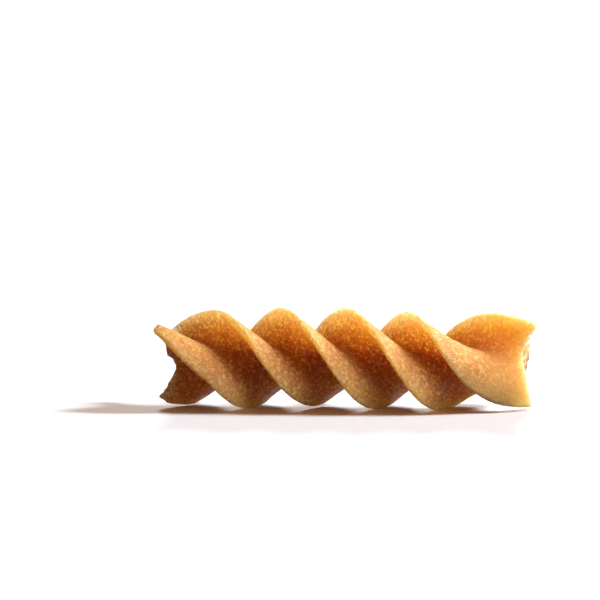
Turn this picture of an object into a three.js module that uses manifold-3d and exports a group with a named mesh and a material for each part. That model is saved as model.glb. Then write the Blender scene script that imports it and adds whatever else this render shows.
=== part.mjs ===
// One dry piece of wholewheat fusilli, lying where it comes to rest.
// Its section is a small hub with three arms that curl the same way and are fullest on the outer side.
// The section is swept along X and turned as it goes, so each arm becomes a blade that winds around the
// axis. The twist slows down near both ends, and the two cuts are as uneven as in real pasta. It lies on
// the lowest points of one blade.
// Millimetres, +Z up, +X along the piece, origin on the surface below its middle.

import * as THREE from 'three';
import { mergeVertices } from 'three/addons/utils/BufferGeometryUtils.js';
import Module from 'manifold-3d';

const DEGREE = Math.PI / 180;

// The section: the arm of full reach, how thick an arm is, and how far it bends from hub to tip
const REACH = 5.09;
const THICKNESS = 1.46;
const CURL = 91 * DEGREE;
// How much fuller an arm's outer side is at its fullest place, and that place as a share of the bend
const FULLNESS = { depth: 0.3, peak: 0.6 };
// How much thinner an arm is at its tip, taken off the inner side from this share of the bend on
const THINNING = { depth: 0.45, from: 0.45 };
// Along an arm, from the axis to where the round between two arms begins
const ROUND_START = 1.62;

// The twist: one full turn over LEAD, and the angle at the middle of the piece
const LEAD = 19.37;
const MIDDLE_ANGLE = -32.6 * DEGREE;
// Where the twist slows down on each side, over what length it eases in, and by what share
const RIGHT_SLOW = { from: 7.8, ease: 10, share: 0.6 };
const LEFT_SLOW = { from: 13.2, ease: 0.8, share: 0.31 };

// The cuts: where the hub ends, and how far back from the left cut the blades get lower towards it
const LEFT_HUB = -16.9;
const RIGHT_HUB = 17.2;
const LEFT_PARED_LENGTH = 2.5;
const RIGHT_SLANT = 0.2;

// The arms, a third of a turn apart. reach: share of REACH. leftTip, rightTip: where the tip is cut off.
// leftPower, rightPower: how a cut runs out from the hub to the tip. leftSlant: how much sooner the outer
// side ends at the tip. leftRound: how much the side faces stand back. leftPared: share of the reach left at
// the left cut. leftLead, rightLead: angle gained towards each end. rightReach: share of the reach kept
// towards the right end.
const ARMS = [
  { reach: 0.94, leftTip: -17.5, leftPower: 2, leftSlant: -1.4, leftRound: 0, leftPared: 1,
    leftLead: 8 * DEGREE,
    rightTip: 18.6, rightPower: 0.7, rightReach: 0.98, rightLead: 23.5 * DEGREE },
  { reach: 1, leftTip: -19.1, leftPower: 0.6, leftSlant: 0, leftRound: 0.2, leftPared: 0.92,
    leftLead: 12 * DEGREE,
    rightTip: 18.4, rightPower: 1.2, rightReach: 1, rightLead: 4.9 * DEGREE },
  { reach: 0.99, leftTip: -18.3, leftPower: 2, leftSlant: 1.6, leftRound: 0, leftPared: 0.92,
    leftLead: -4.1 * DEGREE,
    rightTip: 19.2, rightPower: 1, rightReach: 0.93, rightLead: -6 * DEGREE },
];
const THIRD = 2 * Math.PI / ARMS.length;
// Where the changes towards each end begin, and the length that they take
const LEFT_CHANGE = { from: 10.5, length: 6 };
const RIGHT_CHANGE = { from: 4.1, length: 8 };

// How much of the lowest blade is worn flat where it rests, and the slab that takes it off
const FLAT_DEPTH = 0.13;
const SLAB = { length: 60, width: 20, height: 5 };

// Mesh density: steps along each side of an arm, segments along the outline's other curves, and rows
// along the piece
const SIDE_STEPS = 6;
const CURVE_SEGMENTS = 3;
const ROWS = 62;

// Inside this distance from the axis a point is on no arm's side, and over this width it comes to be
const HUB_INSIDE = 0.9;
const HUB_BORDER = 1.2;

// A tip is a half circle that ends the outer side. From its size comes how far out the bend's middle arc
// ends, which starts at the axis, so that the tip reaches REACH
const TIP_RADIUS = (THICKNESS - THINNING.depth) / 2;
const TIP_OFFSET = THINNING.depth / 2;
const BEND_CHORD = Math.sqrt((REACH - TIP_RADIUS) ** 2 - (TIP_OFFSET * Math.cos(CURL / 2)) ** 2)
  - TIP_OFFSET * Math.sin(CURL / 2);
const BEND_RADIUS = BEND_CHORD / (2 * Math.sin(CURL / 2));
const BEND_CENTRE = new THREE.Vector2(BEND_RADIUS * Math.sin(CURL / 2), BEND_RADIUS * Math.cos(CURL / 2));
const OUTER_RADIUS = BEND_RADIUS + THICKNESS / 2;
const INNER_RADIUS = BEND_RADIUS - THICKNESS / 2;
// Angles round the bend centre: where the outer side, the inner side and the arm itself begin and end
const OUTER_START = -CURL / 2 + ROUND_START / OUTER_RADIUS;
const INNER_START = -CURL / 2 + ROUND_START / INNER_RADIUS;
const BEND_END = CURL / 2;
const QUARTER = Math.PI / 2;

const smooth = (value) => THREE.MathUtils.smoothstep(value, 0, 1);

const polar = (centre, radius, angle) => new THREE.Vector2(
  centre.x + radius * Math.cos(angle),
  centre.y + radius * Math.sin(angle),
);

// Where the line through one point meets the line through another
function meeting(point, angle, otherPoint, otherAngle) {
  const gap = otherPoint.clone().sub(point);
  const along = gap.x * Math.sin(otherAngle) - gap.y * Math.cos(otherAngle);
  return polar(point, along / Math.sin(otherAngle - angle), angle);
}

// How far the outer side stands out from its arc, at a share of the bend from the hub to the tip
function fullness(share) {
  const nearness = share < FULLNESS.peak ? share / FULLNESS.peak : (1 - share) / (1 - FULLNESS.peak);
  return FULLNESS.depth * Math.sin(QUARTER * THREE.MathUtils.clamp(nearness, 0, 1)) ** 2;
}

const bendShare = (angle) => (angle + CURL / 2) / CURL;

// How far the inner side comes in from its arc, at a share of the bend
function thinning(share) {
  return THINNING.depth * THREE.MathUtils.clamp((share - THINNING.from) / (1 - THINNING.from), 0, 1) ** 2;
}

function outerPoint(centre, angle, turn) {
  return polar(centre, OUTER_RADIUS + fullness(bendShare(angle)), angle - QUARTER + turn);
}

function innerPoint(centre, angle, turn) {
  return polar(centre, INNER_RADIUS + thinning(bendShare(angle)), angle - QUARTER + turn);
}

// The closed outline of the three arms, anticlockwise, each arm's outer side first
function sectionOutline() {
  const outline = new THREE.Shape();
  const origin = new THREE.Vector2();
  const start = outerPoint(BEND_CENTRE, OUTER_START, 0);
  outline.moveTo(start.x, start.y);
  ARMS.forEach((arm, index) => {
    const turn = index * THIRD;
    const nextTurn = turn + THIRD;
    const centre = BEND_CENTRE.clone().rotateAround(origin, turn);
    const nextCentre = BEND_CENTRE.clone().rotateAround(origin, nextTurn);
    for (let step = 1; step <= SIDE_STEPS; step += 1) {
      const point = outerPoint(centre, THREE.MathUtils.lerp(OUTER_START, BEND_END, step / SIDE_STEPS), turn);
      outline.lineTo(point.x, point.y);
    }
    const tipAngle = BEND_END + turn;
    const tip = polar(centre, OUTER_RADIUS - TIP_RADIUS, tipAngle - QUARTER);
    outline.absarc(tip.x, tip.y, TIP_RADIUS, tipAngle - QUARTER, tipAngle + QUARTER, false);
    for (let step = 1; step <= SIDE_STEPS; step += 1) {
      const point = innerPoint(centre, THREE.MathUtils.lerp(BEND_END, INNER_START, step / SIDE_STEPS), turn);
      outline.lineTo(point.x, point.y);
    }
    const from = innerPoint(centre, INNER_START, turn);
    const to = outerPoint(nextCentre, OUTER_START, nextTurn);
    const outerWay = outerPoint(nextCentre, OUTER_START + DEGREE, nextTurn).sub(to).angle();
    const corner = meeting(from, INNER_START + turn, to, outerWay);
    outline.quadraticCurveTo(corner.x, corner.y, to.x, to.y);
  });
  return outline;
}

// For a point of the section: its arm, how far out it is, and which side of the arm it is on (outer is 1)
function placeInSection(point) {
  const distance = point.length();
  const middleLine = Math.asin(Math.min(1, distance / (2 * BEND_RADIUS))) - CURL / 2;
  const turns = Math.round((point.angle() - middleLine) / THIRD);
  const fromBend = point.clone().rotateAround(new THREE.Vector2(), -turns * THIRD).sub(BEND_CENTRE);
  const share = bendShare(fromBend.angle() - 3 * QUARTER);
  const past = fromBend.length() - BEND_RADIUS;
  const side = past / (THICKNESS / 2 + (past > 0 ? fullness(share) : -thinning(share)));
  return {
    arm: ARMS[((turns % ARMS.length) + ARMS.length) % ARMS.length],
    out: Math.min(1, distance / REACH),
    side: THREE.MathUtils.clamp(side, -1, 1) * smooth((distance - HUB_INSIDE) / HUB_BORDER),
  };
}

// How much length of twist is lost past a point where it slows down
function lostTwist(past, slow) {
  const beyond = Math.max(0, past);
  const eased = beyond < slow.ease ? beyond * beyond / (2 * slow.ease) : beyond - slow.ease / 2;
  return slow.share * eased;
}

function twistAngle(x) {
  const lost = lostTwist(x - RIGHT_SLOW.from, RIGHT_SLOW) - lostTwist(-x - LEFT_SLOW.from, LEFT_SLOW);
  return MIDDLE_ANGLE + 2 * Math.PI * (x - lost) / LEAD;
}

// A point of the straight sweep, at a share of its length, moved to where the twisted piece has it
function twistedPoint(sectionPoint, share) {
  const { arm, out, side } = placeInSection(sectionPoint);
  const leftCut = LEFT_HUB + (arm.leftTip - LEFT_HUB) * out ** arm.leftPower
    + arm.leftSlant * out * side / 2 + arm.leftRound * side ** 2;
  const rightCut = RIGHT_HUB + (arm.rightTip - RIGHT_HUB) * out ** arm.rightPower - RIGHT_SLANT * side / 2;
  const x = THREE.MathUtils.lerp(leftCut, rightCut, share);
  const left = smooth((-x - LEFT_CHANGE.from) / LEFT_CHANGE.length);
  const right = smooth((x - RIGHT_CHANGE.from) / RIGHT_CHANGE.length);
  const atLeftCut = 1 - smooth((x - leftCut) / LEFT_PARED_LENGTH);
  const weight = out ** 2;
  const reach = (1 + (arm.reach - 1) * weight)
    * (1 + (arm.leftPared - 1) * atLeftCut * weight)
    * (1 + (arm.rightReach - 1) * right * weight);
  const lead = (arm.leftLead * left + arm.rightLead * right) * weight;
  const angle = sectionPoint.angle() + twistAngle(x) + lead;
  const radius = sectionPoint.length() * reach;
  return new THREE.Vector3(x, radius * Math.cos(angle), radius * Math.sin(angle));
}

// The straight sweep runs along Z, and the section's x and y become the piece's y and z
function twistedStrip() {
  const sweep = new THREE.ExtrudeGeometry(sectionOutline(), {
    depth: 1,
    steps: ROWS,
    curveSegments: CURVE_SEGMENTS,
    bevelEnabled: false,
  });
  sweep.deleteAttribute('normal');
  sweep.deleteAttribute('uv');
  const strip = mergeVertices(sweep, 1e-5);
  const position = strip.attributes.position;
  for (let i = 0; i < position.count; i += 1) {
    const sectionPoint = new THREE.Vector2(position.getX(i), position.getY(i));
    const moved = twistedPoint(sectionPoint, position.getZ(i));
    position.setXYZ(i, moved.x, moved.y, moved.z);
  }
  return strip;
}

const manifoldLibrary = await Module();
manifoldLibrary.setup();

function asSolid(geometry) {
  const merged = geometry.clone();
  merged.deleteAttribute('normal');
  merged.deleteAttribute('uv');
  const closed = mergeVertices(merged, 1e-5);
  return new manifoldLibrary.Manifold(new manifoldLibrary.Mesh({
    numProp: 3,
    vertProperties: new Float32Array(closed.attributes.position.array),
    triVerts: new Uint32Array(closed.index.array),
  }));
}

function asGeometry(solid) {
  const mesh = solid.getMesh();
  const geometry = new THREE.BufferGeometry();
  geometry.setAttribute('position', new THREE.BufferAttribute(mesh.vertProperties, 3));
  geometry.setIndex(new THREE.BufferAttribute(mesh.triVerts, 1));
  return geometry;
}

// The piece with its resting spots flat, moved so that they lie on the surface below its middle
function restingPiece() {
  const strip = twistedStrip();
  strip.computeBoundingBox();
  const surface = strip.boundingBox.min.z + FLAT_DEPTH;
  const slab = new THREE.BoxGeometry(SLAB.length, SLAB.width, SLAB.height);
  slab.translate(0, 0, surface - SLAB.height / 2);
  const piece = asGeometry(asSolid(strip).subtract(asSolid(slab)));
  piece.computeBoundingBox();
  const middle = piece.boundingBox.getCenter(new THREE.Vector3());
  piece.translate(-middle.x, -middle.y, -surface);
  piece.computeVertexNormals();
  return piece;
}

const pasta = new THREE.MeshStandardMaterial({ color: 0xc98544, roughness: 0.8, metalness: 0 });

const fusillo = new THREE.Mesh(restingPiece(), pasta);
fusillo.name = 'fusillo';

const group = new THREE.Group();
group.add(fusillo);

export default group;
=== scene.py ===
# Looks for one dry piece of wholewheat fusilli, lying on a pale surface.
# A straight strip with the piece's section is made first. Geometry Nodes twist it, cut its ends, lay it on
# the surface and give it its fine relief. The material is grainy pasta with bran specks, and it lets light
# through.

import math

import bmesh
import bpy
import numpy as np
from mathutils import Matrix, Vector


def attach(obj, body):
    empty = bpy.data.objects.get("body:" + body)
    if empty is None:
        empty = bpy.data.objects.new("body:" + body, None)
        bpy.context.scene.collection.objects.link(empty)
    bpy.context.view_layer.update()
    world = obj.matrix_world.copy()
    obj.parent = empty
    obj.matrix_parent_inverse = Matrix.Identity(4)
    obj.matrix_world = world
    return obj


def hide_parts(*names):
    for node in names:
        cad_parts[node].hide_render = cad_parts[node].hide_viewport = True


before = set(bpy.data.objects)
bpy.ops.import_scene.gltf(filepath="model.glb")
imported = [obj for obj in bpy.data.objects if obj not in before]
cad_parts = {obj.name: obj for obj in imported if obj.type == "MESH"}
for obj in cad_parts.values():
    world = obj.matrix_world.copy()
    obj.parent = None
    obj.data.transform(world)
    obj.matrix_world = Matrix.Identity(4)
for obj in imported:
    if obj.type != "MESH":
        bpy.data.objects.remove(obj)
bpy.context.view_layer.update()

# Sizes are in millimetres, and MM takes a size to Blender's metres
MM = 0.001

# The section: the longest arm's reach, an arm's thickness, and how far it bends from hub to tip
REACH = 5.09
THICKNESS = 1.46
CURL = math.radians(91)
# How much fuller an arm's outer side is at its fullest place, and that place as a share of the bend
FULLNESS_DEPTH = 0.3
FULLNESS_PEAK = 0.6
# How much thinner an arm is at its tip, taken off the inner side from this share of the bend on
THINNING_DEPTH = 0.45
THINNING_FROM = 0.45
# Along an arm, from the axis to where the round between two arms begins
ROUND_START = 1.62

# What follows from these: the tip's round, the arc that an arm's middle line bends along, and its two sides
TIP_RADIUS = (THICKNESS - THINNING_DEPTH) / 2
TIP_OFFSET = THINNING_DEPTH / 2
BEND_CHORD = (
    math.sqrt((REACH - TIP_RADIUS) ** 2 - (TIP_OFFSET * math.cos(CURL / 2)) ** 2)
    - TIP_OFFSET * math.sin(CURL / 2)
)
BEND_RADIUS = BEND_CHORD / (2 * math.sin(CURL / 2))
BEND_CENTRE = np.array([BEND_RADIUS * math.sin(CURL / 2), BEND_RADIUS * math.cos(CURL / 2)])
OUTER_RADIUS = BEND_RADIUS + THICKNESS / 2
INNER_RADIUS = BEND_RADIUS - THICKNESS / 2
OUTER_START = -CURL / 2 + ROUND_START / OUTER_RADIUS
INNER_START = -CURL / 2 + ROUND_START / INNER_RADIUS
BEND_END = CURL / 2
QUARTER = math.pi / 2

# The twist: one full turn over LEAD, and where and by what share it slows down on each side
LEAD = 19.37
MIDDLE_ANGLE = math.radians(-32.6)
RIGHT_SLOW = {"from": 7.8, "ease": 10.0, "share": 0.6}
LEFT_SLOW = {"from": 13.2, "ease": 0.8, "share": 0.31}

# The cuts: where they cross the hub, over what length the left one is pared, and the right one's slant
LEFT_HUB = -16.9
RIGHT_HUB = 17.2
LEFT_PARED_LENGTH = 2.5
RIGHT_SLANT = 0.2
# Where towards each end an arm's own lead and reach come in
LEFT_CHANGE = {"from": 10.5, "length": 6.0}
RIGHT_CHANGE = {"from": 4.1, "length": 8.0}

# Each arm's own values, in the order of the arms: its reach, where each cut meets its tip and how the cut
# bends on the way there from the hub, the cut's slant and round across the arm, how far the arm is pared
# or how far it still reaches at an end, and how far its tip runs ahead of the twist there
ARMS = {
    "reach": (0.94, 1.0, 0.99),
    "left_tip": (-17.5, -19.1, -18.3),
    "left_power": (2.0, 0.6, 2.0),
    "left_slant": (-1.4, 0.0, 1.6),
    "left_round": (0.0, 0.2, 0.0),
    "left_pared": (1.0, 0.92, 0.92),
    "left_lead": (math.radians(8), math.radians(12), math.radians(-4.1)),
    "right_tip": (18.6, 18.4, 19.2),
    "right_power": (0.7, 1.2, 1.0),
    "right_reach": (0.98, 1.0, 0.93),
    "right_lead": (math.radians(23.5), math.radians(4.9), math.radians(-6)),
}
ARM_COUNT = 3
THIRD = 2 * math.pi / ARM_COUNT

# A point nearer to the axis than HUB_INSIDE is on no arm's side, and over HUB_BORDER it comes to be on one
HUB_INSIDE = 0.9
HUB_BORDER = 1.2

# Where the piece lies: its axis above the surface, and how far its middle is from the twist's middle
AXIS_HEIGHT = 4.949
MIDDLE_SHIFT = 0.044

# Steps of the strip's mesh along each side of an arm, round its tip, in the round between two arms, and
# along the piece. In a cut, also between an arm's last line and its tip, and from the hub's rim to the axis.
SIDE_STEPS = 26
TIP_STEPS = 12
ROUND_STEPS = 8
ROWS = 420
LENS_STEPS = 6
HUB_RINGS = 10

# Points nearer than MERGE_DISTANCE are one point. A face whose normal's X is over CUT_FACING is on a cut.
MERGE_DISTANCE = 0.0001
CUT_FACING = 0.5
# Arm numbers that differ by less than this are the same arm
ARM_TOLERANCE = 0.1

# The relief's heights and sizes, and how many finer noises lie over each one's own
RELIEF = {
    "Swell Height": 0.07,
    "Swell Size": 5.0,
    "Dimple Height": 0.035,
    "Dimple Size": 1.3,
    "Grain Height": 0.022,
    "Grain Size": 0.42,
    "Cut Grain Height": 0.16,
    "Cut Grain Size": 0.32,
}
RELIEF_DETAIL = {"Swell": 0.0, "Dimple": 1.0, "Grain": 1.0, "Cut Grain": 2.0}

# What the twist's node tree is given
TWIST_INPUTS = {
    "Lead": LEAD,
    "Middle Angle": MIDDLE_ANGLE,
    "Right Slow From": RIGHT_SLOW["from"],
    "Right Slow Ease": RIGHT_SLOW["ease"],
    "Right Slow Share": RIGHT_SLOW["share"],
    "Left Slow From": LEFT_SLOW["from"],
    "Left Slow Ease": LEFT_SLOW["ease"],
    "Left Slow Share": LEFT_SLOW["share"],
    **RELIEF,
}

# The pasta's noise features: size, detail and roughness
FEATURES = {
    "mottling": (2.4, 3.0, 0.6),
    "clusters": (3.5, 1.0, 0.6),
    "streaks": (0.5, 3.0, 0.6),
    "grain": (0.34, 2.0, 0.65),
    "fine_grain": (0.16, 1.0, 0.6),
    "bran": (0.36, 2.0, 0.6),
    "dust": (0.24, 1.0, 0.6),
}
# Streaks are drawn out along the strip by counting only this share of the length
STREAK_SHARE = 0.16
# The bran's outlines wander by up to half of BRAN_WANDER, and clusters gather the bran
BRAN_WANDER = 0.5
BRAN_WANDER_SIZE = 0.6
BRAN_GATHERING = 0.3

# Where each noise's colour comes in, between two of its values
MOTTLING_RANGE = (0.35, 0.65)
# Pale grains are partly real grain and partly painted glints
STARCH_AND_GLINT_RANGE = (0.48, 0.7)
BRAN_RANGE = (0.66, 0.84)
DUST_RANGE = (0.54, 0.78)
CUT_RANGE = (0.4, 0.6)
# Distances over which a colour changes: from the axis at the hub and at the tips, and along the piece
# Painted shade: the hub is painted darker brown, where the grooves lie in shade
HUB_SHADE_RANGE = (1.0, 4.0)
# Painted light: the thin tips are painted paler, as where light passes through them
TIP_LIGHT_RANGE = (4.0, 5.0)
# Painted light: the right end is painted paler, as where more light falls on it
RIGHT_END_LIGHT_RANGE = (9.0, 19.0)

# Screen colours from 0 to 255, and how strongly each one that lies over the gold is mixed in
GOLD = (204, 128, 56)
PALE_GOLD = (224, 150, 70)
CUT_BROWN = (166, 104, 52)
CUT_CREAM = (238, 186, 124)
CUT_AMOUNT = 0.85
TINTS = {
    # Painted shade: darker brown at the hub
    "hub": ((186, 118, 52), 0.4),
    # Pale grains, partly real grain and partly painted glints
    "starch_and_glint": ((250, 204, 136), 0.7),
    "dust": ((182, 112, 44), 0.2),
    "bran": ((170, 98, 38), 0.6),
    # Painted light: paler towards the right end
    "right_end_light": ((254, 184, 104), 0.6),
    # Painted light: paler at the thin tips
    "tip": ((250, 182, 96), 0.2),
}

# How much the noises change the tone, the height under the light, and the roughness
GRAIN_TONE = 0.8
FINE_GRAIN_TONE = 0.35
STREAK_TONE = 0.4
GRAIN_HEIGHT = 1.2
FINE_GRAIN_HEIGHT = 0.5
STREAK_HEIGHT = 0.3
BRAN_DEPTH = 0.2
BUMP_HEIGHT = 0.18
ROUGHNESS = 0.42
GRAIN_ROUGHNESS = 0.2
CUT_ROUGHNESS = 0.2

# The shader's constants. Light goes far into the pasta, red farthest and blue least.
PASTA_SHADER = {
    "Specular IOR Level": 0.4,
    "Subsurface Weight": 1.0,
    "Subsurface Radius": (1.0, 0.96, 0.76),
    "Subsurface Scale": 6.2 * MM,
    "Subsurface Anisotropy": 0.3,
}

# The surface that the piece lies on
FLOOR_HALF = 6000
FLOOR_GREY = (246, 243, 241)
FLOOR_WHITE = (250, 248, 247)
FLOOR_TONE_SIZE = 30
FLOOR_SHADER = {"Roughness": 0.6, "Specular IOR Level": 0.2}

# The room's dim warm light from below and from above. One gives way to the other about at the horizon.
ROOM_BELOW = (0.07, 0.026, 0.009, 1.0)
ROOM_ABOVE = (0.25, 0.125, 0.06, 1.0)
HORIZON_RANGE = (-0.4, 0.2)

# Round studio lights: place, what it points at, size, watts, colour, and the one thing that it lights.
# The floor's key is cool, so that the surface looks white in the warm room.
LIGHTS = {
    "key_behind_right": ((1490, 760, 2490), (0, 0, 0), 700, 30, (1.0, 0.96, 0.93), "piece"),
    "floor_key": ((2300, 500, 2000), (0, 0, 0), 800, 132, (0.9, 1.0, 1.1), "floor"),
    "low_light_from_right": ((2660, -1050, 910), (0, 0, 0), 900, 64, (1.0, 0.96, 0.93), "piece"),
    "backdrop_light": ((0, 5500, 2500), (0, 4500, 0), 1500, 170, (1.0, 1.0, 1.0), "floor"),
    "light_behind_right": ((36, 28, 56), (14, 0, 5), 40, 0.056, (1.0, 0.97, 0.9), "piece"),
    "light_before_right": ((52, -34, 16), (17, 0, 4), 30, 0.018, (1.0, 0.94, 0.9), "piece"),
}

# The camera, from the photograph's frame: PIECE_PIXEL is the pixel that the twist's middle is seen at
IMAGE_SIDE = 600
PIXELS_PER_MM = 10.0
CAMERA_DISTANCE = 600.0
CAMERA_YAW = math.radians(-3.35)
CAMERA_ELEVATION = math.radians(6.5)
CAMERA_ROLL = math.radians(0.08)
PIECE_PIXEL = (345.8, 358.6)
SENSOR_WIDTH = 36
NEAREST_SEEN = 10
FARTHEST_SEEN = 20000


class Wire:
    """A node's output, so that node maths is written as plain expressions."""

    def __init__(self, nodes, socket):
        self.nodes = nodes
        self.socket = socket

    def maths(self, operation, *others):
        return self.nodes.add("ShaderNodeMath", {"operation": operation}, self, *others)

    def __add__(self, other):
        return self.maths("ADD", other)

    def __radd__(self, other):
        return self.maths("ADD", other)

    def __sub__(self, other):
        return self.maths("SUBTRACT", other)

    def __rsub__(self, other):
        return self.nodes.add("ShaderNodeMath", {"operation": "SUBTRACT"}, other, self)

    def __mul__(self, other):
        return self.maths("MULTIPLY", other)

    def __rmul__(self, other):
        return self.maths("MULTIPLY", other)

    def __truediv__(self, other):
        return self.maths("DIVIDE", other)

    def __rtruediv__(self, other):
        return self.nodes.add("ShaderNodeMath", {"operation": "DIVIDE"}, other, self)

    def __pow__(self, other):
        return self.maths("POWER", other)

    def __neg__(self):
        return self.maths("MULTIPLY", -1.0)

    def at_least(self, other):
        return self.maths("MAXIMUM", other)

    def at_most(self, other):
        return self.maths("MINIMUM", other)

    def smooth(self, low=0.0, high=1.0):
        """0 below low, 1 above high, and an eased rise between them."""
        return self.nodes.add(
            "ShaderNodeMapRange",
            {"interpolation_type": "SMOOTHSTEP"},
            {"Value": self, "From Min": low, "From Max": high},
        )


class Nodes:
    """Adds nodes to one tree."""

    def __init__(self, tree):
        self.tree = tree

    def add(self, kind, settings=None, *values, output=0):
        """Adds a node, sets its settings, then its sockets: in order, or by name or number from a dict."""
        node = self.tree.nodes.new(kind)
        for name, value in (settings or {}).items():
            setattr(node, name, value)
        if len(values) == 1 and isinstance(values[0], dict):
            values = values[0].items()
        else:
            values = enumerate(values)
        for key, value in values:
            self.plug(node.inputs[key], value)
        return Wire(self, node.outputs[output]) if len(node.outputs) else None

    def plug(self, socket, value):
        if isinstance(value, Wire):
            self.tree.links.new(value.socket, socket)
        elif value is not None:
            socket.default_value = value

    def mix(self, factor, first, second):
        """Mixes two colours. The Mix node keeps its colour sockets in places 6 and 7, and its colour in 2."""
        settings = {"data_type": "RGBA", "clamp_factor": True}
        return self.add("ShaderNodeMix", settings, {0: factor, 6: first, 7: second}, output=2)

    def vector(self, operation, *values, output=0):
        return self.add("ShaderNodeVectorMath", {"operation": operation}, *values, output=output)

    def noise(self, place, scale, detail=2.0, roughness=0.5):
        values = {"Vector": place, "Scale": scale, "Detail": detail, "Roughness": roughness}
        return self.add("ShaderNodeTexNoise", None, values)

    def noise_colour(self, place, scale):
        """Three random values around zero, as a vector."""
        noise = self.add("ShaderNodeTexNoise", None, {"Vector": place, "Scale": scale}, output="Color")
        return self.vector("SUBTRACT", noise, (0.5, 0.5, 0.5))


def polar(centre, radius, angle):
    return centre + radius * np.array([math.cos(angle), math.sin(angle)])


def turned(points, angle):
    cosine, sine = math.cos(angle), math.sin(angle)
    return np.asarray(points) @ np.array([[cosine, sine], [-sine, cosine]])


def fullness(share):
    """How far the outer side stands out from its arc, at a share of the bend from the hub to the tip."""
    nearness = np.where(share < FULLNESS_PEAK, share / FULLNESS_PEAK, (1 - share) / (1 - FULLNESS_PEAK))
    return FULLNESS_DEPTH * np.sin(QUARTER * np.clip(nearness, 0, 1)) ** 2


def bend_share(angle):
    return (angle + CURL / 2) / CURL


def thinning(share):
    """How far the inner side comes in from its arc, at a share of the bend."""
    return THINNING_DEPTH * np.clip((share - THINNING_FROM) / (1 - THINNING_FROM), 0, 1) ** 2


def outer_point(angle):
    return polar(BEND_CENTRE, OUTER_RADIUS + fullness(bend_share(angle)), angle - QUARTER)


def inner_point(angle):
    return polar(BEND_CENTRE, INNER_RADIUS + thinning(bend_share(angle)), angle - QUARTER)


def arm_outline():
    """The parts of one arm's outline: outer side, tip, inner side, and the round to the next arm."""
    outer = [outer_point(a) for a in np.linspace(OUTER_START, BEND_END, SIDE_STEPS + 1)]
    inner = [inner_point(a) for a in np.linspace(INNER_START, BEND_END, SIDE_STEPS + 1)]
    tip_centre = polar(BEND_CENTRE, OUTER_RADIUS - TIP_RADIUS, BEND_END - QUARTER)
    tip = [
        polar(tip_centre, TIP_RADIUS, BEND_END + a)
        for a in np.linspace(-QUARTER, QUARTER, TIP_STEPS + 1)
    ]
    start, end = inner[0], turned(outer[0], THIRD)
    first_step = turned(outer[1] - outer[0], THIRD)
    end_way = math.atan2(first_step[1], first_step[0])
    gap = end - start
    along = (gap[0] * math.sin(end_way) - gap[1] * math.cos(end_way)) / math.sin(end_way - INNER_START)
    corner = polar(start, along, INNER_START)
    fillet = [
        (1 - t) ** 2 * start + 2 * t * (1 - t) * corner + t ** 2 * end
        for t in np.linspace(0, 1, ROUND_STEPS + 1)
    ]
    return np.array(outer), np.array(tip), np.array(inner), np.array(fillet)


def add_grid(mesh, points):
    """Adds a grid of faces from rows of points, which share nothing with other faces yet."""
    rows = [[mesh.verts.new(point) for point in row] for row in points]
    for low, high in zip(rows, rows[1:]):
        for i in range(len(low) - 1):
            mesh.faces.new((low[i], low[i + 1], high[i + 1], high[i]))


def between(first, second, steps):
    return [first + (second - first) * i / steps for i in range(steps + 1)]


def add_cut_face(mesh, x):
    """Fills the section at x: each arm across its thickness, its round tip, and the hub in rings."""
    outer, tip, inner, fillet = arm_outline()
    hub = []
    for arm in range(ARM_COUNT):
        def place(points):
            return [(x, *(point * MM)) for point in turned(points, arm * THIRD)]
        across = [np.array(between(a, b, TIP_STEPS)) for a, b in zip(outer, inner)]
        add_grid(mesh, [place(line) for line in across])
        add_grid(mesh, [place(line) for line in between(across[-1], tip, LENS_STEPS)])
        hub += place(across[0])[:-1] + place(fillet)[:-1]
    hub = [Vector(point) for point in hub + hub[:1]]
    centre = Vector((x, 0, 0))
    add_grid(mesh, [[centre.lerp(p, 1 - ring / HUB_RINGS) for p in hub] for ring in range(HUB_RINGS)])
    last = [centre.lerp(p, 1 / HUB_RINGS) for p in hub]
    for a, b in zip(last, last[1:]):
        mesh.faces.new([mesh.verts.new(p) for p in (a, b, centre)])


def straight_strip():
    """The section swept straight along X, one unit long, with both ends filled."""
    outer, tip, inner, fillet = arm_outline()
    one_arm = np.concatenate([outer[:-1], tip[:-1], inner[:0:-1], fillet[:-1]])
    loop = np.concatenate([turned(one_arm, arm * THIRD) for arm in range(ARM_COUNT)])
    loop = np.vstack([loop, loop[:1]]) * MM
    mesh = bmesh.new()
    shares = np.linspace(0, 1, ROWS + 1)
    add_grid(mesh, [[(share, *point) for point in loop] for share in shares])
    for end in (0.0, 1.0):
        add_cut_face(mesh, end)
    bmesh.ops.remove_doubles(mesh, verts=mesh.verts, dist=MERGE_DISTANCE * MM)
    bmesh.ops.recalc_face_normals(mesh, faces=mesh.faces)
    for edge in mesh.edges:
        sides = [abs(face.normal.x) > CUT_FACING for face in edge.link_faces]
        edge.smooth = len(set(sides)) == 1
    for face in mesh.faces:
        face.smooth = True
    data = bpy.data.meshes.new("fusillo_strip")
    mesh.to_mesh(data)
    mesh.free()
    return data


def write_attribute(data, name, values):
    data.attributes.new(name, "FLOAT", "POINT").data.foreach_set("value", values.astype(np.float32))


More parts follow.
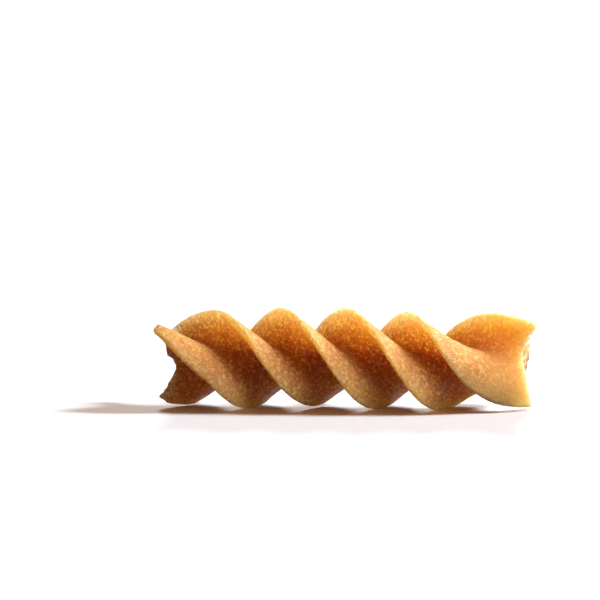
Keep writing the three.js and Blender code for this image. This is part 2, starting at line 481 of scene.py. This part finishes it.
def describe_section(data):
    """Writes on each point where it is in the section: how far out, on which arm and side, if on a cut."""
    places = np.empty(len(data.vertices) * 3)
    data.vertices.foreach_get("co", places)
    share, y, z = places.reshape(-1, 3).T
    y, z = y / MM, z / MM
    distance = np.hypot(y, z)
    angle = np.arctan2(z, y)
    middle_line = np.arcsin(np.minimum(1, distance / (2 * BEND_RADIUS))) - CURL / 2
    turns = np.round((angle - middle_line) / THIRD)
    from_bend_y = distance * np.cos(angle - turns * THIRD) - BEND_CENTRE[0]
    from_bend_z = distance * np.sin(angle - turns * THIRD) - BEND_CENTRE[1]
    along_bend = bend_share(np.arctan2(from_bend_z, from_bend_y) + QUARTER)
    past = np.hypot(from_bend_y, from_bend_z) - BEND_RADIUS
    side = past / (THICKNESS / 2 + np.where(past > 0, fullness(along_bend), -thinning(along_bend)))
    rise = np.clip((distance - HUB_INSIDE) / HUB_BORDER, 0, 1)
    on_cut = np.zeros(len(data.vertices))
    normals = np.empty(len(data.polygons) * 3)
    data.polygons.foreach_get("normal", normals)
    for polygon in data.polygons:
        if abs(normals[polygon.index * 3]) > CUT_FACING:
            on_cut[list(polygon.vertices)] = 1
    write_attribute(data, "share", share)
    write_attribute(data, "distance", distance)
    write_attribute(data, "section_angle", angle)
    write_attribute(data, "arm", turns % ARM_COUNT)
    write_attribute(data, "side", np.clip(side, -1, 1) * rise * rise * (3 - 2 * rise))
    write_attribute(data, "on_cut", on_cut)


def read_attribute(nodes, name):
    return nodes.add("GeometryNodeInputNamedAttribute", {"data_type": "FLOAT"}, {"Name": name})


def lost_twist(past, slow_from, ease, share):
    """The length of twist lost past a point where it slows down."""
    beyond = (past - slow_from).at_least(0.0)
    eased = beyond.at_most(ease)
    return share * (eased * eased / (ease * 2.0) + (beyond - eased))


class Strip:
    """What each point of the straight strip carries, and each arm's own values there."""

    def __init__(self, nodes):
        self.share, self.distance, self.section_angle, self.side, self.on_cut, arm = (
            read_attribute(nodes, name)
            for name in ("share", "distance", "section_angle", "side", "on_cut", "arm")
        )
        self.is_arm = [
            nodes.add("ShaderNodeMath", {"operation": "COMPARE"}, arm, float(i), ARM_TOLERANCE)
            for i in range(ARM_COUNT)
        ]
        self.out = (self.distance / REACH).at_most(1.0)
        self.weight = self.out * self.out

    def own(self, name):
        return sum(chosen * value for chosen, value in zip(self.is_arm, ARMS[name]))


def cut_places(strip):
    """Where the left and the right cut cross the strip's length, in millimetres."""
    out, side, own = strip.out, strip.side, strip.own
    left = (
        LEFT_HUB + (own("left_tip") - LEFT_HUB) * out ** own("left_power")
        + own("left_slant") * out * side / 2 + own("left_round") * side * side
    )
    right = RIGHT_HUB + (own("right_tip") - RIGHT_HUB) * out ** own("right_power") - side * RIGHT_SLANT / 2
    return left, right


def twisted_place(nodes, given, strip):
    """A point's place once the strip is twisted, its ends are cut and shaped, and it lies on the surface."""
    weight, own = strip.weight, strip.own
    left_cut, right_cut = cut_places(strip)
    x = left_cut + (right_cut - left_cut) * strip.share
    left = (-x).smooth(LEFT_CHANGE["from"], LEFT_CHANGE["from"] + LEFT_CHANGE["length"])
    right = x.smooth(RIGHT_CHANGE["from"], RIGHT_CHANGE["from"] + RIGHT_CHANGE["length"])
    at_left_cut = 1 - (x - left_cut).smooth(0.0, LEFT_PARED_LENGTH)
    reach = (
        (1 + (own("reach") - 1) * weight)
        * (1 + (own("left_pared") - 1) * at_left_cut * weight)
        * (1 + (own("right_reach") - 1) * right * weight)
    )
    lost = (
        lost_twist(x, given["Right Slow From"], given["Right Slow Ease"], given["Right Slow Share"])
        - lost_twist(-x, given["Left Slow From"], given["Left Slow Ease"], given["Left Slow Share"])
    )
    angle = (
        strip.section_angle + given["Middle Angle"] + (x - lost) * (2 * math.pi) / given["Lead"]
        + (own("left_lead") * left + own("right_lead") * right) * weight
    )
    radius = strip.distance * reach
    place = nodes.add(
        "ShaderNodeCombineXYZ", None,
        (x - MIDDLE_SHIFT) * MM,
        radius * angle.maths("COSINE") * MM,
        (radius * angle.maths("SINE") + AXIS_HEIGHT) * MM,
    )
    return x, place


def straight_place(nodes, strip, x):
    """The same point's place before the twist, which the material follows along the strip."""
    return nodes.add(
        "ShaderNodeCombineXYZ", None,
        x * MM,
        strip.distance * strip.section_angle.maths("COSINE") * MM,
        strip.distance * strip.section_angle.maths("SINE") * MM,
    )


def relief_height(nodes, given, on_cut):
    """Low swells, dimples and grain all over, and coarse grain on the cuts, in millimetres."""
    position = nodes.add("GeometryNodeInputPosition")

    def bumps(name):
        """A noise from about -1 to 1, times its height."""
        noise = nodes.noise(position, 1 / (given[name + " Size"] * MM), RELIEF_DETAIL[name])
        return (noise - 0.5) * 2.0 * given[name + " Height"]

    return bumps("Swell") + bumps("Dimple") + bumps("Grain") + bumps("Cut Grain") * on_cut


def twist_tree(material):
    """Twists the straight strip, shapes its ends, lays it on the surface and adds the relief."""
    tree = bpy.data.node_groups.new("twist_fusillo", "GeometryNodeTree")
    tree.interface.new_socket("Geometry", in_out="INPUT", socket_type="NodeSocketGeometry")
    tree.interface.new_socket("Geometry", in_out="OUTPUT", socket_type="NodeSocketGeometry")
    for name in TWIST_INPUTS:
        tree.interface.new_socket(name, in_out="INPUT", socket_type="NodeSocketFloat")
    nodes = Nodes(tree)
    given = {name: nodes.add("NodeGroupInput", output=name) for name in ("Geometry", *TWIST_INPUTS)}
    strip = Strip(nodes)
    x, place = twisted_place(nodes, given, strip)

    def move(geometry, **values):
        values = {"Geometry": geometry, **values}
        return nodes.add("GeometryNodeSetPosition", None, values)

    geometry = nodes.add(
        "GeometryNodeStoreNamedAttribute", {"data_type": "FLOAT_VECTOR", "domain": "POINT"},
        {"Geometry": given["Geometry"], "Name": "straight", "Value": straight_place(nodes, strip, x)},
    )
    geometry = move(geometry, Position=place)
    height = relief_height(nodes, given, strip.on_cut)
    normal = nodes.add("GeometryNodeInputNormal")
    geometry = move(geometry, Offset=nodes.vector("SCALE", {0: normal, "Scale": height * MM}))

    # No point goes below the surface
    there = nodes.add("GeometryNodeInputPosition")
    x, y, z = (nodes.add("ShaderNodeSeparateXYZ", None, there, output=axis) for axis in "XYZ")
    resting = nodes.add("ShaderNodeCombineXYZ", None, x, y, z.at_least(0.0))
    geometry = move(geometry, Position=resting)

    geometry = nodes.add("GeometryNodeRealizeInstances", None, {"Geometry": geometry})
    geometry = nodes.add("GeometryNodeSetMaterial", None, {"Geometry": geometry, "Material": material})
    nodes.add("NodeGroupOutput", None, geometry)
    return tree


def make_fusillo(material):
    data = straight_strip()
    describe_section(data)
    strip = bpy.data.objects.new("fusillo_strip", data)
    bpy.context.scene.collection.objects.link(strip)
    twist = strip.modifiers.new("twist", "NODES")
    twist.node_group = twist_tree(material)
    for item in twist.node_group.interface.items_tree:
        if item.in_out == "INPUT" and item.name in TWIST_INPUTS:
            twist[item.identifier] = TWIST_INPUTS[item.name]
    evaluated = strip.evaluated_get(bpy.context.evaluated_depsgraph_get())
    twisted = bpy.data.meshes.new_from_object(evaluated)
    twisted.name = "fusillo_pasta"
    strip.modifiers.clear()
    bpy.data.objects.remove(strip)
    piece = bpy.data.objects.new("fusillo_pasta", twisted)
    bpy.context.scene.collection.objects.link(piece)
    return piece


def screen_colour(levels):
    """A colour given in screen levels from 0 to 255, as Blender's linear values."""
    def linear(level):
        level /= 255
        return level / 12.92 if level <= 0.04045 else ((level + 0.055) / 1.055) ** 2.4
    return (*(linear(level) for level in levels), 1.0)


def new_material(name):
    material = bpy.data.materials.new(name)
    material.use_nodes = True
    material.node_tree.nodes.clear()
    return material, Nodes(material.node_tree)


def finish_material(nodes, values):
    shader = nodes.add("ShaderNodeBsdfPrincipled", None, values)
    nodes.add("ShaderNodeOutputMaterial", None, {"Surface": shader})


def object_place(nodes):
    return nodes.add("ShaderNodeTexCoord", output="Object")


def pasta_features(nodes, straight):
    """The noises that the pasta's colour, height and roughness are made of."""
    place = object_place(nodes)

    def feature(name, where=place):
        size, detail, roughness = FEATURES[name]
        return nodes.noise(where, 1 / (size * MM), detail, roughness)

    drawn_out = nodes.vector("MULTIPLY", straight, (STREAK_SHARE, 1.0, 1.0))
    random_way = nodes.noise_colour(place, 1 / (BRAN_WANDER_SIZE * MM))
    wander = nodes.vector("SCALE", {0: random_way, "Scale": BRAN_WANDER * MM})
    noises = {name: feature(name) for name in ("mottling", "clusters", "grain", "fine_grain")}
    noises["streaks"] = feature("streaks", drawn_out)
    bran = feature("bran", nodes.vector("ADD", place, wander)) + noises["clusters"] * BRAN_GATHERING
    noises["bran"] = bran.smooth(*BRAN_RANGE)
    noises["dust"] = feature("dust").smooth(*DUST_RANGE)
    return noises


def pasta_colour(nodes, noises, straight, on_cut):
    """Mottled gold with dust and bran, painted shade at the hub, painted light at tips and right end, and
    pale grains partly painted as glints.
    """
    across = nodes.vector("MULTIPLY", straight, (0.0, 1.0, 1.0))
    from_axis = nodes.vector("LENGTH", across, output="Value")
    along = nodes.vector("DOT_PRODUCT", straight, (1.0, 0.0, 0.0), output="Value")
    grain = noises["grain"]

    def rise(distance, low, high):
        return distance.smooth(low * MM, high * MM)

    def tint(colour, name, share):
        levels, amount = TINTS[name]
        return nodes.mix(share * amount, colour, screen_colour(levels))

    mottling = noises["mottling"].smooth(*MOTTLING_RANGE)
    colour = nodes.mix(mottling, screen_colour(GOLD), screen_colour(PALE_GOLD))
    # Painted shade: darker brown near the axis, in the grooves
    colour = tint(colour, "hub", 1 - rise(from_axis, *HUB_SHADE_RANGE))
    # Pale grains, partly real grain and partly painted glints
    colour = tint(colour, "starch_and_glint", grain.smooth(*STARCH_AND_GLINT_RANGE))
    tone = (
        1 + (grain - 0.5) * GRAIN_TONE + (noises["fine_grain"] - 0.5) * FINE_GRAIN_TONE
        + (noises["streaks"] - 0.5) * STREAK_TONE
    )
    colour = nodes.vector("SCALE", {0: colour, "Scale": tone})
    colour = tint(colour, "dust", noises["dust"])
    colour = tint(colour, "bran", noises["bran"])
    # Painted light: paler towards the right end
    colour = tint(colour, "right_end_light", rise(along, *RIGHT_END_LIGHT_RANGE))
    # Painted light: paler at the thin tips, as light passes through them
    colour = tint(colour, "tip", rise(from_axis, *TIP_LIGHT_RANGE))
    cut_colour = nodes.mix(grain.smooth(*CUT_RANGE), screen_colour(CUT_BROWN), screen_colour(CUT_CREAM))
    return nodes.mix(on_cut * CUT_AMOUNT, colour, cut_colour)


def pasta_material():
    """Wholewheat pasta that lets light through, with coarse pale cut faces."""
    material, nodes = new_material("wholewheat_pasta")
    straight = nodes.add("ShaderNodeAttribute", {"attribute_name": "straight"}, output="Vector")
    on_cut = nodes.add("ShaderNodeAttribute", {"attribute_name": "on_cut"}, output="Fac")
    noises = pasta_features(nodes, straight)
    height = (
        noises["grain"] * GRAIN_HEIGHT + noises["fine_grain"] * FINE_GRAIN_HEIGHT
        + noises["streaks"] * STREAK_HEIGHT - noises["bran"] * BRAN_DEPTH
    )
    bump = {"Strength": 1.0, "Distance": BUMP_HEIGHT * MM, "Height": height}
    finish_material(nodes, {
        "Base Color": pasta_colour(nodes, noises, straight, on_cut),
        "Roughness": ROUGHNESS + noises["grain"] * GRAIN_ROUGHNESS + on_cut * CUT_ROUGHNESS,
        "Normal": nodes.add("ShaderNodeBump", None, bump),
        **PASTA_SHADER,
    })
    return material


def surface_material():
    """A smooth near-white surface."""
    material, nodes = new_material("pale_surface")
    tone = nodes.noise(object_place(nodes), 1 / (FLOOR_TONE_SIZE * MM))
    colour = nodes.mix(tone, screen_colour(FLOOR_GREY), screen_colour(FLOOR_WHITE))
    finish_material(nodes, {"Base Color": colour, **FLOOR_SHADER})
    return material


def make_floor():
    """The surface. It sends no light back to the piece, which keeps the piece's underside dark."""
    half = FLOOR_HALF * MM
    corners = [(-half, -half, 0), (half, -half, 0), (half, half, 0), (-half, half, 0)]
    data = bpy.data.meshes.new("pale_floor")
    data.from_pydata(corners, [], [(0, 1, 2, 3)])
    floor = bpy.data.objects.new("pale_floor", data)
    bpy.context.scene.collection.objects.link(floor)
    data.materials.append(surface_material())
    floor.visible_diffuse = False
    return floor


def add_softbox(name, place, target, size, watts, colour, thing):
    """Adds a round light that shines on one thing alone, as a studio's flags see to."""
    light = bpy.data.lights.new(name, "AREA")
    light.shape = "DISK"
    light.size = size * MM
    light.energy = watts
    light.color = colour
    softbox = bpy.data.objects.new(name, light)
    softbox.location = Vector(place) * MM
    softbox.rotation_euler = ((Vector(target) - Vector(place)) * MM).to_track_quat("-Z", "Y").to_euler()
    softbox.visible_camera = False
    bpy.context.scene.collection.objects.link(softbox)
    lit = bpy.data.collections.new("lit_by_" + name)
    lit.objects.link(thing)
    softbox.light_linking.receiver_collection = lit


def light_room():
    """The room's own light, which takes no side and fills the shadows."""
    world = bpy.data.worlds.new("warm_room")
    world.use_nodes = True
    nodes = Nodes(world.node_tree)
    direction = nodes.add("ShaderNodeTexCoord", output="Generated")
    upward = nodes.vector("DOT_PRODUCT", direction, (0.0, 0.0, 1.0), output="Value")
    colour = nodes.mix(upward.smooth(*HORIZON_RANGE), ROOM_BELOW, ROOM_ABOVE)
    nodes.plug(world.node_tree.nodes["Background"].inputs["Color"], colour)
    bpy.context.scene.world = world


def light_scene(fusillo, floor):
    light_room()
    things = {"piece": fusillo, "floor": floor}
    for name, (*values, thing) in LIGHTS.items():
        add_softbox(name, *values, things[thing])


def make_camera():
    """The photograph's view: the camera looks along the line that puts the piece at its pixel."""
    forward = Vector((
        math.sin(CAMERA_YAW) * math.cos(CAMERA_ELEVATION),
        math.cos(CAMERA_YAW) * math.cos(CAMERA_ELEVATION),
        -math.sin(CAMERA_ELEVATION),
    ))
    level_right = Vector((math.cos(CAMERA_YAW), -math.sin(CAMERA_YAW), 0))
    upright = level_right.cross(forward)
    right = level_right * math.cos(CAMERA_ROLL) + upright * math.sin(CAMERA_ROLL)
    up = right.cross(forward)
    middle = IMAGE_SIDE / 2
    across = (PIECE_PIXEL[0] - middle) / PIXELS_PER_MM
    down = (PIECE_PIXEL[1] - middle) / PIXELS_PER_MM
    target = Vector((-MIDDLE_SHIFT, 0, AXIS_HEIGHT))
    place = target - forward * CAMERA_DISTANCE - right * across + up * down
    data = bpy.data.cameras.new("camera")
    data.sensor_width = SENSOR_WIDTH
    data.lens = SENSOR_WIDTH * CAMERA_DISTANCE * PIXELS_PER_MM / IMAGE_SIDE
    data.clip_start = NEAREST_SEEN * MM
    data.clip_end = FARTHEST_SEEN * MM
    camera = bpy.data.objects.new("camera", data)
    turn = Matrix((right, up, -forward)).transposed().to_4x4()
    camera.matrix_world = Matrix.Translation(place * MM) @ turn
    bpy.context.scene.collection.objects.link(camera)
    bpy.context.scene.camera = camera


def set_colours():
    view = bpy.context.scene.view_settings
    view.view_transform = "Standard"
    view.look = "None"


set_colours()
make_camera()
floor = make_floor()
fusillo = make_fusillo(pasta_material())
light_scene(fusillo, floor)
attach(fusillo, "root")
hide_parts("fusillo")
